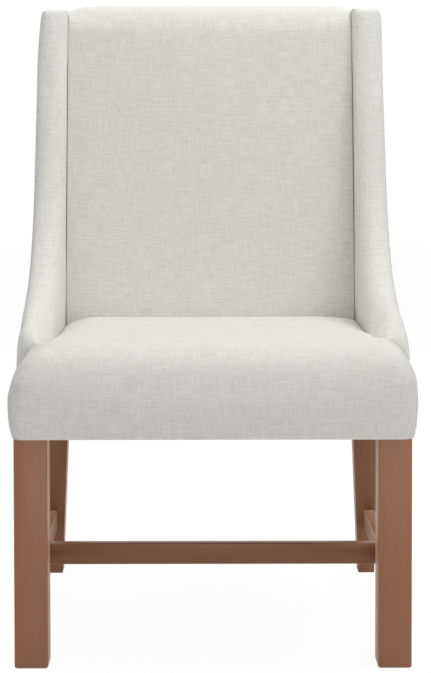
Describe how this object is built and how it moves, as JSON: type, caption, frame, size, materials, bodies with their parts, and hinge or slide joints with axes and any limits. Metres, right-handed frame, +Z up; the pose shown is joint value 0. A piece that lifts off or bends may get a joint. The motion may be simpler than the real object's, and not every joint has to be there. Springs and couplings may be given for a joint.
{
  "type": "parsons chair",
  "caption": "Upholstered dining chair with sloping wings, a boxed seat and square wooden legs joined by an H of stretchers.",
  "frame": {"origin": "middle of the chair's footprint, on the floor", "axes": "+X to the viewer's right as the viewer faces the chair, +Y from the front to the back, +Z up"},
  "size_m": [0.615, 0.6504, 1.021],
  "materials": {
    "linen": "woven",
    "leg_wood": "satin",
    "frame_wood": "raw",
    "plywood": "raw",
    "webbing": "woven",
    "foam": "open cell",
    "dust_cloth": "woven",
    "zinc": "zinc plated"
  },
  "bodies": {
    "root": {"front_leg_left": "leg_wood", "rear_post_left": "leg_wood", "side_stretcher_left": "leg_wood", "side_rail_left": "frame_wood", "front_corner_block_left": "frame_wood", "rear_corner_block_left": "frame_wood", "front_corner_bolt_left": "zinc", "rear_corner_bolt_left": "zinc", "front_corner_washer_left": "zinc", "rear_corner_washer_left": "zinc", "wing_board_left": "plywood", "wing_foam_left": "foam", "wing_cover_left": "linen", "outside_pad_left": "linen", "front_leg_right": "leg_wood", "rear_post_right": "leg_wood", "side_stretcher_right": "leg_wood", "side_rail_right": "frame_wood", "front_corner_block_right": "frame_wood", "rear_corner_block_right": "frame_wood", "front_corner_bolt_right": "zinc", "rear_corner_bolt_right": "zinc", "front_corner_washer_right": "zinc", "rear_corner_washer_right": "zinc", "wing_board_right": "plywood", "wing_foam_right": "foam", "wing_cover_right": "linen", "outside_pad_right": "linen", "cross_stretcher": "leg_wood", "front_rail": "frame_wood", "rear_rail": "frame_wood", "top_rail": "frame_wood", "lumbar_rail": "frame_wood", "seat_strap_along_1": "webbing", "seat_strap_across_1": "webbing", "seat_strap_along_2": "webbing", "seat_strap_across_2": "webbing", "seat_strap_along_3": "webbing", "seat_strap_across_3": "webbing", "seat_strap_along_4": "webbing", "seat_strap_across_4": "webbing", "back_strap_up_1": "webbing", "back_strap_across_1": "webbing", "back_strap_up_2": "webbing", "back_strap_across_2": "webbing", "back_strap_up_3": "webbing", "back_strap_across_3": "webbing", "seat_foam": "foam", "back_foam": "foam", "seat_cover": "linen", "inside_back_cover": "linen", "outside_back": "linen", "dust_cloth": "dust_cloth"}
  },
  "joints": []
}
